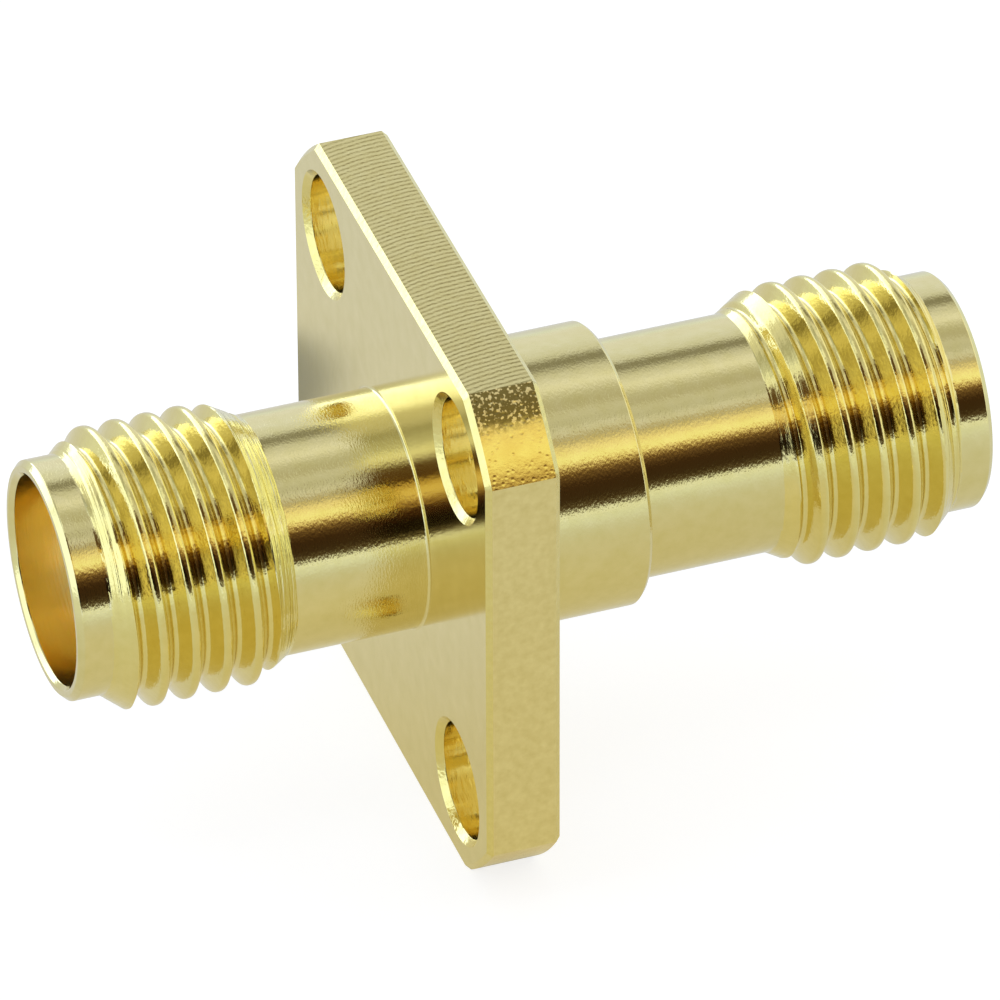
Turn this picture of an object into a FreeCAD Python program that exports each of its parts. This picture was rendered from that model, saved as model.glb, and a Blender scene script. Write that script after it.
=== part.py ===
import FreeCAD, Part
import math
import os
import re
import Sketcher

# Straight coaxial panel adapter: two threaded jacks on one axis, joined through a
# square four-hole flange. The axis is X, the flange lies in YZ and +Z is up.
# The origin is the middle of the flange's front face, on the axis.

doc = FreeCAD.newDocument("PanelAdapter")
sheet = doc.addObject("Spreadsheet::Sheet", "Sizes")

# Driving dimensions in millimetres and degrees: alias, value, what it measures.
drivingDimensions = [
    ("flangeSide", 12.7, "square flange, across flats"),
    ("flangeThickness", 1.66, "flange plate"),
    ("flangeCornerCut", 0.98, "what the round bar leaves off each corner of the square"),
    ("flangeEdgeBreak", 0.12, "chamfer round both flange faces"),
    ("holeInset", 2.03, "mounting hole centres in from the sides of the flange"),
    ("holeDiameter", 2.6, "mounting holes, clear for M2.5"),
    ("holeChamfer", 0.145, "chamfer at both ends of each mounting hole"),
    ("frontJackLength", 7.87, "flange face to the mouth of the front jack"),
    ("rearJackLength", 8.05, "boss end to the mouth of the rear jack"),
    ("bossDiameter", 6.3, "boss behind the flange"),
    ("bossLength", 3.26, "flange back to the end of the boss"),
    ("bossEdgeBreak", 0.1, "chamfer at the end of the boss"),
    ("barrelDiameter", 5.3, "plain barrel between thread and body"),
    ("barrelFillet", 0.06, "fillet where the front barrel meets the flange"),
    ("pilotDiameter", 5.28, "plain pilot in front of each thread"),
    ("pilotLength", 0.77, "mouth to the foot of the thread"),
    ("pilotEdgeBreak", 0.12, "outer chamfer of each mouth"),
    ("threadLength", 4.1, "foot to foot of each thread"),
    ("threadDiameter", 6.2, "thread over its crests"),
    ("threadPitch", 0.7056, "36 turns to the inch"),
    ("threadCrestWidth", 0.15, "flat on the crest"),
    ("threadRootWidth", 0.11, "flat in the root"),
    ("threadFlankAngle", 30.0, "flank to the normal of the axis"),
    ("threadEntryAngle", 40.0, "chamfer at the mouth end of the thread"),
    ("threadExitAngle", 30.0, "chamfer at the barrel end of the thread"),
    ("frontThreadLead", 0.236, "front thread: first groove before the foot"),
    ("rearThreadLead", 0.446, "rear thread: first groove before the foot"),
    ("mouthDiameter", 4.6, "mouth bore, takes the sleeve of a plug"),
    ("mouthDepth", 1.93, "mouth to the reference plane"),
    ("mouthChamfer", 0.1, "inner chamfer of each mouth"),
    ("lineBoreDiameter", 4.13, "outer conductor of the coaxial line"),
    ("spigotDiameter", 5.0, "rear jack's spigot and the bore that it is pressed in"),
    ("spigotLength", 1.72, "length of the spigot"),
    ("spigotLead", 0.15, "chamfer on the end of the spigot"),
    ("insulatorClearance", 0.015, "insulator to bore, each side"),
    ("insulatorEdgeBreak", 0.08, "outer edge of each insulator"),
    ("collarLength", 0.65, "collar of each insulator"),
    ("contactDiameter", 1.27, "centre contact"),
    ("contactClearance", 0.01, "contact to insulator, each side"),
    ("contactRecess", 0.05, "contact end behind the reference plane"),
    ("contactEdgeBreak", 0.08, "outer chamfer of each contact end"),
    ("contactCollarDiameter", 2.0, "collar that holds the contact endways"),
    ("contactCollarLength", 0.5, "length of that collar"),
    ("socketDiameter", 0.93, "hole for the pin of a plug"),
    ("socketDepth", 2.8, "depth of that hole"),
    ("socketLead", 0.07, "chamfer at the mouth of that hole"),
    ("drillPointAngle", 59.0, "half angle at the bottom of that hole"),
    ("slotWidth", 0.13, "slots that make the contact's tines springy"),
    ("slotLength", 2.3, "length of the slots"),
    ("cutOverrun", 0.5, "how far a cut runs out past a face"),
]
firstRow = 2
sheet.set("A1", "size")
sheet.set("B1", "value")
sheet.set("C1", "measures")
for row, (alias, value, note) in enumerate(drivingDimensions, firstRow):
    sheet.set("A%d" % row, alias)
    sheet.set("B%d" % row, str(value))
    sheet.setAlias("B%d" % row, alias)
    sheet.set("C%d" % row, note)
doc.recompute()
aliases = [entry[0] for entry in drivingDimensions]
sameSize = 1e-6


def onSheet(text):
    # An expression in which each alias is read from the sheet.
    return re.sub(r"[A-Za-z]\w*",
                  lambda word: "Sizes." + word.group() if word.group() in aliases else word.group(),
                  text)


def number(text):
    # The present value of such an expression.
    return float(sheet.evalExpression(onSheet(text)))


# Places along the axis, and radii, as expressions of the sheet's sizes.
frontMouth = "(-frontJackLength)"
frontFoot = "(-frontJackLength + pilotLength)"
bossEnd = "(flangeThickness + bossLength)"
flangeBarRadius = "(flangeSide / sqrt(2) - flangeCornerCut)"
holeOffset = "(flangeSide / 2 - holeInset)"
rearMouth = "(flangeThickness + bossLength + rearJackLength)"
rearFoot = "(%s - pilotLength - threadLength)" % rearMouth
spigotEnd = "(%s - spigotLength)" % bossEnd
middle = "(%s - spigotLength - collarLength)" % bossEnd
shoulder = "(%s - spigotLength - 2 * collarLength)" % bossEnd
crestRadius = "threadDiameter / 2"
pilotRadius = "pilotDiameter / 2"
barrelRadius = "barrelDiameter / 2"
bossRadius = "bossDiameter / 2"
mouthRadius = "mouthDiameter / 2"
lineRadius = "lineBoreDiameter / 2"
spigotRadius = "spigotDiameter / 2"
threadEntry = "((threadDiameter - pilotDiameter) / 2 / tan(threadEntryAngle * 1 deg))"
threadExit = "((threadDiameter - barrelDiameter) / 2 / tan(threadExitAngle * 1 deg))"
threadDepth = ("((threadPitch - threadCrestWidth - threadRootWidth) / 2"
               " / tan(threadFlankAngle * 1 deg))")


def newBody(name):
    body = doc.addObject("PartDesign::Body", name)
    body.Label = name
    return body


def sketchOn(body, planeRole, name):
    plane = [item for item in body.Origin.OriginFeatures if item.Role == planeRole][0]
    sketch = body.newObject("Sketcher::SketchObject", name)
    sketch.AttachmentSupport = [(plane, "")]
    sketch.MapMode = "FlatFace"
    return sketch


def bindCoordinate(sketch, kind, geometry, point, expression):
    index = sketch.addConstraint(Sketcher.Constraint(kind, geometry, point, number(expression)))
    sketch.setExpression("Constraints[%d]" % index, onSheet(expression))


def drawPolygon(sketch, corners):
    # A closed outline whose corners are (across, up) expressions from the origin.
    points = [FreeCAD.Vector(number(across), number(up), 0) for across, up in corners]
    first = sketch.GeometryCount
    count = len(points)
    for index in range(count):
        sketch.addGeometry(Part.LineSegment(points[index], points[(index + 1) % count]))
    for index in range(count):
        following = first + (index + 1) % count
        sketch.addConstraint(Sketcher.Constraint("Coincident", first + index, 2, following, 1))
    acrossAxis = -1
    upAxis = -2
    for index, (across, up) in enumerate(corners):
        for kind, expression, axis in (("DistanceX", across, upAxis), ("DistanceY", up, acrossAxis)):
            if expression == "0":
                onAxis = Sketcher.Constraint("PointOnObject", first + index, 1, axis)
                sketch.addConstraint(onAxis)
            else:
                bindCoordinate(sketch, kind, first + index, 1, expression)


def drawFlangeOutline(sketch):
    # Four straight sides joined by four arcs of one circle round the axis.
    halfSide = number("flangeSide / 2")
    barRadius = number(flangeBarRadius)
    halfFlat = math.sqrt(barRadius ** 2 - halfSide ** 2)
    cornerStart = math.atan2(halfFlat, halfSide)
    cornerEnd = math.atan2(halfSide, halfFlat)
    bar = Part.Circle(FreeCAD.Vector(0, 0, 0), FreeCAD.Vector(0, 0, 1), barRadius)
    start = FreeCAD.Vector(halfSide, -halfFlat, 0)
    end = FreeCAD.Vector(halfSide, halfFlat, 0)
    sideCount = 4
    for turn in range(sideCount):
        quarter = FreeCAD.Rotation(FreeCAD.Vector(0, 0, 1), Radian=turn * math.pi / 2)
        sketch.addGeometry(Part.LineSegment(quarter * start, quarter * end))
        sketch.addGeometry(Part.ArcOfCircle(
            bar, cornerStart + turn * math.pi / 2, cornerEnd + turn * math.pi / 2))
    for turn in range(sideCount):
        side = 2 * turn
        corner = side + 1
        following = (side + 2) % (2 * sideCount)
        sketch.addConstraint(Sketcher.Constraint("Coincident", side, 2, corner, 1))
        sketch.addConstraint(Sketcher.Constraint("Coincident", corner, 2, following, 1))
        sketch.addConstraint(Sketcher.Constraint("Coincident", corner, 3, -1, 1))
        upright = turn % 2 == 0
        sketch.addConstraint(Sketcher.Constraint("Vertical" if upright else "Horizontal", side))
        sign = "" if turn in (0, 1) else "-"
        bindCoordinate(sketch, "DistanceX" if upright else "DistanceY", side, 1,
                       sign + "flangeSide / 2")
    for turn in range(1, sideCount):
        sketch.addConstraint(Sketcher.Constraint("Equal", 1, 2 * turn + 1))
    size = sketch.addConstraint(Sketcher.Constraint("Radius", 1, barRadius))
    sketch.setExpression("Constraints[%d]" % size, onSheet(flangeBarRadius))


def edgesWhere(shape, test):
    return ["Edge%d" % (index + 1) for index, edge in enumerate(shape.Edges) if test(edge)]


def isCircle(edge, radius):
    curve = edge.Curve
    return isinstance(curve, Part.Circle) and abs(curve.Radius - radius) < sameSize


def revolve(body, kind, corners, name):
    # A body of revolution, or a turned cut, about the connector's axis.
    sketch = sketchOn(body, "XZ_Plane", name + "Section")
    drawPolygon(sketch, corners)
    feature = body.newObject("PartDesign::" + kind, name)
    feature.Profile = sketch
    feature.ReferenceAxis = (sketch, ["H_Axis"])
    feature.Angle = 360.0
    doc.recompute()
    return feature


def cutThread(body, foot, lead, name):
    # One V-shaped groove wound right-handed along the axis, in and out through the reliefs.
    start = "(%s - %s)" % (foot, lead)
    rootRadius = "(%s - %s)" % (crestRadius, threadDepth)
    rim = "(%s + threadCrestWidth / 2)" % crestRadius
    halfRoot = "threadRootWidth / 2"
    halfRim = "(%s + (%s - %s) * tan(threadFlankAngle * 1 deg))" % (halfRoot, rim, rootRadius)
    sketch = sketchOn(body, "XZ_Plane", name + "Section")
    drawPolygon(sketch, [
        ("%s - %s" % (start, halfRim), rim),
        ("%s - %s" % (start, halfRoot), rootRadius),
        ("%s + %s" % (start, halfRoot), rootRadius),
        ("%s + %s" % (start, halfRim), rim),
    ])
    groove = body.newObject("PartDesign::SubtractiveHelix", name)
    groove.Profile = sketch
    groove.ReferenceAxis = (sketch, ["H_Axis"])
    groove.Mode = 0
    groove.Reversed = False
    groove.setExpression("Pitch", onSheet("threadPitch"))
    groove.setExpression("Height", onSheet("threadLength + %s + cutOverrun" % lead))
    doc.recompute()
    return groove


def makeFlangedBody():
    body = newBody("flanged_body")

    # The square plate, milled from round bar, so that its corners are arcs of the bar.
    outline = sketchOn(body, "YZ_Plane", "flangeOutline")
    drawFlangeOutline(outline)
    plate = body.newObject("PartDesign::Pad", "flangePlate")
    plate.Profile = outline
    plate.setExpression("Length", onSheet("flangeThickness"))
    doc.recompute()

    rims = body.newObject("PartDesign::Chamfer", "flangeEdges")
    rims.Base = (plate, edgesWhere(plate.Shape, lambda edge: edge.BoundBox.XLength < sameSize))
    rims.setExpression("Size", onSheet("flangeEdgeBreak"))
    doc.recompute()

    # Four mounting holes on a square, each chamfered at both ends.
    holeCentres = sketchOn(body, "YZ_Plane", "mountingHoleCentres")
    for side in ("-", ""):
        for level in ("-", ""):
            circle = holeCentres.addGeometry(Part.Circle(
                FreeCAD.Vector(number(side + holeOffset), number(level + holeOffset), 0),
                FreeCAD.Vector(0, 0, 1), number("holeDiameter / 2")))
            bindCoordinate(holeCentres, "DistanceX", circle, 3, side + holeOffset)
            bindCoordinate(holeCentres, "DistanceY", circle, 3, level + holeOffset)
            size = holeCentres.addConstraint(Sketcher.Constraint(
                "Diameter", circle, number("holeDiameter")))
            holeCentres.setExpression("Constraints[%d]" % size, onSheet("holeDiameter"))
    holes = body.newObject("PartDesign::Pocket", "mountingHoles")
    holes.Profile = holeCentres
    holes.Type = 1
    holes.Reversed = True
    doc.recompute()

    countersinks = body.newObject("PartDesign::Chamfer", "mountingHoleEdges")
    holeRadius = number("holeDiameter / 2")
    countersinks.Base = (holes, edgesWhere(holes.Shape, lambda edge: isCircle(edge, holeRadius)))
    countersinks.setExpression("Size", onSheet("holeChamfer"))
    doc.recompute()

    # Front jack, plate core and boss, turned in one with the plate.
    turned = revolve(body, "Revolution", [
        (frontMouth, "0"),
        (frontMouth, pilotRadius + " - pilotEdgeBreak"),
        (frontMouth + " + pilotEdgeBreak", pilotRadius),
        (frontFoot, pilotRadius),
        (frontFoot + " + " + threadEntry, crestRadius),
        (frontFoot + " + threadLength - " + threadExit, crestRadius),
        (frontFoot + " + threadLength", barrelRadius),
        ("flangeThickness / 2", barrelRadius),
        ("flangeThickness / 2", bossRadius),
        (bossEnd + " - bossEdgeBreak", bossRadius),
        (bossEnd, bossRadius + " - bossEdgeBreak"),
        (bossEnd, "0"),
    ], "frontJackAndBoss")

    blend = body.newObject("PartDesign::Fillet", "barrelRoot")
    barrelEnd = number(barrelRadius)
    blend.Base = (turned, edgesWhere(turned.Shape, lambda edge: isCircle(edge, barrelEnd)
                                     and abs(edge.Curve.Center.x) < sameSize))
    blend.setExpression("Radius", onSheet("barrelFillet"))
    doc.recompute()

    # The bores: mouth, coaxial line, and the wide one that takes collars and spigot.
    revolve(body, "Groove", [
        (frontMouth + " - cutOverrun", "0"),
        (frontMouth + " - cutOverrun", mouthRadius + " + mouthChamfer + cutOverrun"),
        (frontMouth + " + mouthChamfer", mouthRadius),
        (frontMouth + " + mouthDepth", mouthRadius),
        (frontMouth + " + mouthDepth", lineRadius),
        (shoulder, lineRadius),
        (shoulder, spigotRadius),
        (bossEnd + " + cutOverrun", spigotRadius),
        (bossEnd + " + cutOverrun", "0"),
    ], "bodyBores")

    cutThread(body, frontFoot, "frontThreadLead", "frontThread")
    return body


def makePressedJack():
    body = newBody("pressed_jack")
    revolve(body, "Revolution", [
        (spigotEnd, lineRadius),
        (spigotEnd, spigotRadius + " - spigotLead"),
        (spigotEnd + " + spigotLead", spigotRadius),
        (bossEnd, spigotRadius),
        (bossEnd, barrelRadius),
        (rearFoot, barrelRadius),
        (rearFoot + " + " + threadExit, crestRadius),
        (rearFoot + " + threadLength - " + threadEntry, crestRadius),
        (rearFoot + " + threadLength", pilotRadius),
        (rearMouth + " - pilotEdgeBreak", pilotRadius),
        (rearMouth, pilotRadius + " - pilotEdgeBreak"),
        (rearMouth, mouthRadius + " + mouthChamfer"),
        (rearMouth + " - mouthChamfer", mouthRadius),
        (rearMouth + " - mouthDepth", mouthRadius),
        (rearMouth + " - mouthDepth", lineRadius),
    ], "rearJack")
    cutThread(body, rearFoot, "rearThreadLead", "rearThread")
    return body


def makeInsulator(name, innerEndToReferencePlane, turn):
    # A sleeve with a collar at its inner end, modelled from that end towards -X.
    body = newBody(name)
    outerEnd = "(-%s)" % innerEndToReferencePlane
    sleeveRadius = "(%s - insulatorClearance)" % lineRadius
    boreRadius = "(contactDiameter / 2 + contactClearance)"
    recessRadius = "(contactCollarDiameter / 2 + contactClearance)"
    revolve(body, "Revolution", [
        (outerEnd, boreRadius),
        (outerEnd, sleeveRadius + " - insulatorEdgeBreak"),
        (outerEnd + " + insulatorEdgeBreak", sleeveRadius),
        ("-collarLength", sleeveRadius),
        ("-collarLength", spigotRadius + " - insulatorClearance"),
        ("0", spigotRadius + " - insulatorClearance"),
        ("0", recessRadius),
        ("-contactCollarLength / 2", recessRadius),
        ("-contactCollarLength / 2", boreRadius),
    ], name + "Sleeve")
    body.Placement = FreeCAD.Placement(FreeCAD.Vector(number(middle), 0, 0),
                                       FreeCAD.Rotation(FreeCAD.Vector(0, 0, 1), turn))
    body.setExpression("Placement.Base.x", onSheet(middle))
    return body


def makeCentreContact():
    body = newBody("centre_contact")
    frontEnd = "(%s + mouthDepth + contactRecess)" % frontMouth
    rearEnd = "(%s - mouthDepth - contactRecess)" % rearMouth
    contactRadius = "contactDiameter / 2"
    collarRadius = "contactCollarDiameter / 2"
    socketRadius = "socketDiameter / 2"
    drillPoint = "(socketDiameter / 2 / tan(drillPointAngle * 1 deg))"
    revolve(body, "Revolution", [
        (frontEnd + " + socketDepth + " + drillPoint, "0"),
        (frontEnd + " + socketDepth", socketRadius),
        (frontEnd + " + socketLead", socketRadius),
        (frontEnd, socketRadius + " + socketLead"),
        (frontEnd, contactRadius + " - contactEdgeBreak"),
        (frontEnd + " + contactEdgeBreak", contactRadius),
        (middle + " - contactCollarLength / 2", contactRadius),
        (middle + " - contactCollarLength / 2", collarRadius),
        (middle + " + contactCollarLength / 2", collarRadius),
        (middle + " + contactCollarLength / 2", contactRadius),
        (rearEnd + " - contactEdgeBreak", contactRadius),
        (rearEnd, contactRadius + " - contactEdgeBreak"),
        (rearEnd, socketRadius + " + socketLead"),
        (rearEnd + " - socketLead", socketRadius),
        (rearEnd + " - socketDepth", socketRadius),
        (rearEnd + " - socketDepth - " + drillPoint, "0"),
    ], "contactTurning")
    # Two saw cuts at right angles leave four tines at each end.
    for planeRole in ("XY_Plane", "XZ_Plane"):
        sketch = sketchOn(body, planeRole, "slots" + planeRole[:2])
        for outer, inner in ((frontEnd + " - cutOverrun", frontEnd + " + slotLength"),
                             (rearEnd + " - slotLength", rearEnd + " + cutOverrun")):
            drawPolygon(sketch, [
                (outer, "-slotWidth / 2"),
                (inner, "-slotWidth / 2"),
                (inner, "slotWidth / 2"),
                (outer, "slotWidth / 2"),
            ])
        cut = body.newObject("PartDesign::Pocket", "sawCut" + planeRole[:2])
        cut.Profile = sketch
        cut.Type = 1
        cut.Midplane = True
        doc.recompute()
    return body


frontSleeve = "(%s - %s - mouthDepth)" % (middle, frontMouth)
rearSleeve = "(%s - mouthDepth - %s)" % (rearMouth, middle)
subParts = [
    makeFlangedBody(),
    makePressedJack(),
    makeInsulator("front_insulator", frontSleeve, 0),
    makeInsulator("rear_insulator", rearSleeve, 180),
    makeCentreContact(),
]
doc.recompute()

for item in doc.Objects:
    if "Invalid" in item.State or "Error" in item.State:
        raise RuntimeError("%s failed: %s" % (item.Label, item.State))
for body in subParts:
    if body.Shape.isNull() or not body.Shape.isValid() or len(body.Shape.Solids) != 1:
        raise RuntimeError("%s is not one valid solid" % body.Label)

os.makedirs("parts", exist_ok=True)
for body in subParts:
    box = body.Shape.BoundBox
    print("%s: %.3f mm3, x %.2f to %.2f" % (body.Label, body.Shape.Volume, box.XMin, box.XMax))
    body.Shape.exportStep("parts/%s.step" % body.Label)
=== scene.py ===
import math

import bpy
from mathutils import Matrix, Vector


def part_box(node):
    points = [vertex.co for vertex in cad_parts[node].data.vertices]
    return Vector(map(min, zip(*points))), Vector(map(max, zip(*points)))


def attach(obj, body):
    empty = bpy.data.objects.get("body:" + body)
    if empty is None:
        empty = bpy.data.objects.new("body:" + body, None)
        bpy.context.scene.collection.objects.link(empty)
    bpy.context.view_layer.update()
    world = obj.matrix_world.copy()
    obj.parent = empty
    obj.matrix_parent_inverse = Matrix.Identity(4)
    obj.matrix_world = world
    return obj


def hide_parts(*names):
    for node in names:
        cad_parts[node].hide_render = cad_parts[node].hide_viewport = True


# A gold-plated coaxial panel adapter on a white table in soft studio light.
# Pieces are modelled in millimetres and brought to metres when they are finished.

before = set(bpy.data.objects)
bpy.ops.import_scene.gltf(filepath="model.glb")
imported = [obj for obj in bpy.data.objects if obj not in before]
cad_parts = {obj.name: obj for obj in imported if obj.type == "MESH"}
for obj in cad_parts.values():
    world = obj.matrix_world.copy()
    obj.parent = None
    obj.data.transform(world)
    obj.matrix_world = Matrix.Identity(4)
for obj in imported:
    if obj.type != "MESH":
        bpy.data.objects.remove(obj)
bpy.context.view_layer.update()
print("frame loaded:", ", ".join(sorted(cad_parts)))

millimetre = 0.001
weldDistance = 0.0005    # mm, two points nearer than this are one
fineWeld = 0.0001    # mm, the same where the points of a thread lie close together
ringSteps = 256    # points round every turned surface
arcFacets = 3    # facets in every softened corner
sharpFrom = 34.0    # degrees between two faces from which their edge is shown sharp

bodyLow, bodyHigh = (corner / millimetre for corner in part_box("flanged_body"))
jackLow, jackHigh = (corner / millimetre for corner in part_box("pressed_jack"))
sleeveLow, sleeveHigh = (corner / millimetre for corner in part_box("front_insulator"))


def selectOnly(*pieces):
    bpy.ops.object.select_all(action="DESELECT")
    for piece in pieces:
        piece.select_set(True)
    bpy.context.view_layer.objects.active = pieces[0]


def softenCorners(points, radius, closed=False):
    # Each corner of a line in the XZ plane becomes a small arc, which takes a third of a side at most.
    softened = []
    count = len(points)
    for index, point in enumerate(points):
        if not closed and index in (0, count - 1):
            softened.append(point)
            continue
        here = Vector(point)
        back = Vector(points[index - 1]) - here
        ahead = Vector(points[(index + 1) % count]) - here
        reach = min(radius, back.length / 3, ahead.length / 3)
        start = here + back.normalized() * reach
        end = here + ahead.normalized() * reach
        for facet in range(arcFacets + 1):
            share = facet / arcFacets
            onCurve = start * (1 - share) ** 2 + here * 2 * share * (1 - share) + end * share ** 2
            softened.append((onCurve.x, onCurve.y))
    return softened


def drawLine(name, points):
    # Edges one after another in the XZ plane: x, then distance from the axis.
    bpy.ops.object.select_all(action="DESELECT")
    bpy.ops.mesh.primitive_plane_add(size=1, location=(0, 0, 0))
    line = bpy.context.object
    line.name = name
    bpy.ops.object.mode_set(mode="EDIT")
    bpy.ops.mesh.select_all(action="SELECT")
    bpy.ops.mesh.merge(type="CENTER")
    bpy.ops.transform.translate(value=(points[0][0], 0, points[0][1]))
    for before, after in zip(points, points[1:]):
        step = (after[0] - before[0], 0, after[1] - before[1])
        bpy.ops.mesh.extrude_region_move(TRANSFORM_OT_translate={"value": step})
    return line


def spinLine(steps, centre):
    # The line that is being edited is spun once round an axis along X through the centre.
    bpy.ops.mesh.select_all(action="SELECT")
    bpy.ops.mesh.spin(steps=steps, angle=2 * math.pi, center=centre, axis=(1, 0, 0),
                      use_auto_merge=False)
    bpy.ops.mesh.select_all(action="SELECT")
    bpy.ops.mesh.remove_doubles(threshold=weldDistance)
    bpy.ops.object.mode_set(mode="OBJECT")


def turnOnLathe(name, points, steps=ringSteps):
    turned = drawLine(name, points)
    spinLine(steps, (0, 0, 0))
    return turned


def joinPieces(name, *pieces):
    selectOnly(*pieces)
    bpy.ops.object.join()
    joined = bpy.context.object
    joined.name = name
    joined.data.name = name
    return joined


# What both jacks have in common, in mm.
jack = {
    "pilotRadius": 2.64,
    "pilotLength": 0.77,
    "pilotEdge": 0.12,
    "barrelRadius": 2.65,
    "mouthRadius": 2.3,
    "mouthEdge": 0.1,
    "mouthDepth": 1.93,
    "lineRadius": 2.065,
    "edgeSoftening": 0.02,    # every turned corner is a little round
}


def mouthCorners(mouth, inwards):
    # From the pilot round the rim to the bottom of the mouth; inwards is 1 or -1 along X.
    return [
        (mouth + inwards * jack["pilotEdge"], jack["pilotRadius"]),
        (mouth, jack["pilotRadius"] - jack["pilotEdge"]),
        (mouth, jack["mouthRadius"] + jack["mouthEdge"]),
        (mouth + inwards * jack["mouthEdge"], jack["mouthRadius"]),
        (mouth + inwards * jack["mouthDepth"], jack["mouthRadius"]),
        (mouth + inwards * jack["mouthDepth"], jack["lineRadius"]),
    ]


# The thread of both jacks, in mm and degrees.
thread = {
    "pitch": 0.7056,    # 36 turns to the inch
    "length": 4.1,
    "crestRadius": 3.1,
    "crestFlat": 0.15,
    "rootFlat": 0.11,
    "flankAngle": 30.0,    # half of the angle between two flanks
    "flankSteps": 5,
    "crestRounding": 0.1,
    "crestSteps": 6,
    "rootRounding": 0.06,
    "rootSteps": 4,
    "entryAngle": 40.0,    # chamfer at the mouth end
    "exitAngle": 30.0,    # chamfer at the barrel end
    "endMargin": 0.05,    # plain wall kept at each end of the wound part
    "frontLead": 0.236,    # first groove before the foot of the front thread
    "rearLead": 0.446,
}


def threadSection():
    # One pitch of the thread, from the middle of a groove to the middle of the next.
    halfPitch = thread["pitch"] / 2
    slope = math.tan(math.radians(thread["flankAngle"]))
    depth = (thread["pitch"] - thread["crestFlat"] - thread["rootFlat"]) / 2 / slope
    crest = thread["crestRadius"]
    root = crest - depth
    turn = math.radians(90 - thread["flankAngle"])

    def arcAt(cornerX, cornerRadius, rounding, steps, atRoot):
        # The arc that rounds a corner between a flat and the rising flank.
        tangent = rounding * math.tan(turn / 2)
        arc = []
        for step in range(steps + 1):
            angle = turn * step / steps
            arc.append((cornerX - tangent + rounding * math.sin(angle),
                        cornerRadius + rounding * (1 - math.cos(angle))))
        if atRoot:
            return arc
        return [(2 * cornerX - x, 2 * cornerRadius - r) for x, r in reversed(arc)]

    rootArc = arcAt(thread["rootFlat"] / 2, root, thread["rootRounding"], thread["rootSteps"], True)
    crestArc = arcAt(halfPitch - thread["crestFlat"] / 2, crest, thread["crestRounding"],
                     thread["crestSteps"], False)
    steps = thread["flankSteps"]
    (x0, r0), (x1, r1) = rootArc[-1], crestArc[0]
    flank = [(x0 + (x1 - x0) * step / steps, r0 + (r1 - r0) * step / steps) for step in range(1, steps)]
    rising = [(0.0, root)] + rootArc + flank + crestArc + [(halfPitch, crest)]
    return rising + [(thread["pitch"] - x, r) for x, r in reversed(rising[:-1])]


def windThread(name, foot, lead, entrySide):
    # The section wound right-handed, then its ends pulled down to the chamfers and the plain walls.
    # entrySide is -1 where the mouth lies towards -X and 1 where it lies towards +X.
    pitch = thread["pitch"]
    start = foot - thread["endMargin"]
    end = foot + thread["length"] + thread["endMargin"]
    firstGroove = foot - lead
    while firstGroove > start - pitch:
        firstGroove -= pitch
    wound = drawLine(name, [(x + firstGroove, r) for x, r in threadSection()])
    bpy.ops.object.mode_set(mode="OBJECT")
    winding = wound.modifiers.new("winding", "SCREW")
    winding.axis = "X"
    winding.screw_offset = pitch
    winding.iterations = math.ceil((end - firstGroove) / pitch) + 1
    winding.steps = ringSteps
    winding.render_steps = ringSteps
    bpy.ops.object.modifier_apply(modifier=winding.name)
    entryFoot = foot if entrySide < 0 else foot + thread["length"]
    exitFoot = foot + thread["length"] if entrySide < 0 else foot
    entrySlope = math.tan(math.radians(thread["entryAngle"]))
    exitSlope = math.tan(math.radians(thread["exitAngle"]))
    for point in wound.data.vertices:
        x = min(max(point.co.x, start), end)
        intoEntry = max(0.0, (entryFoot - x) * entrySide)
        intoExit = max(0.0, (x - exitFoot) * entrySide)
        limit = min(jack["pilotRadius"] + intoEntry * entrySlope,
                    jack["barrelRadius"] + intoExit * exitSlope)
        radius = math.hypot(point.co.y, point.co.z)
        pull = min(1.0, limit / radius)
        point.co = (x, point.co.y * pull, point.co.z * pull)
    bpy.ops.object.mode_set(mode="EDIT")
    bpy.ops.mesh.select_all(action="SELECT")
    bpy.ops.mesh.remove_doubles(threshold=fineWeld)
    bpy.ops.object.mode_set(mode="OBJECT")
    return wound


# The flange, in mm.
flange = {
    "thickness": 1.66,
    "barRadius": 8.0,    # the round bar that the square was milled from
    "barSteps": 252,
    "edge": 0.12,
    "holePlace": 4.32,    # from the axis, both ways
    "holeRadius": 1.3,
    "holeEdge": 0.145,
    "holeSoftening": 0.015,
    "holeSteps": 96,
}

flatFacing = 0.9999    # a normal with this much of X is on the front or back of the plate


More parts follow.
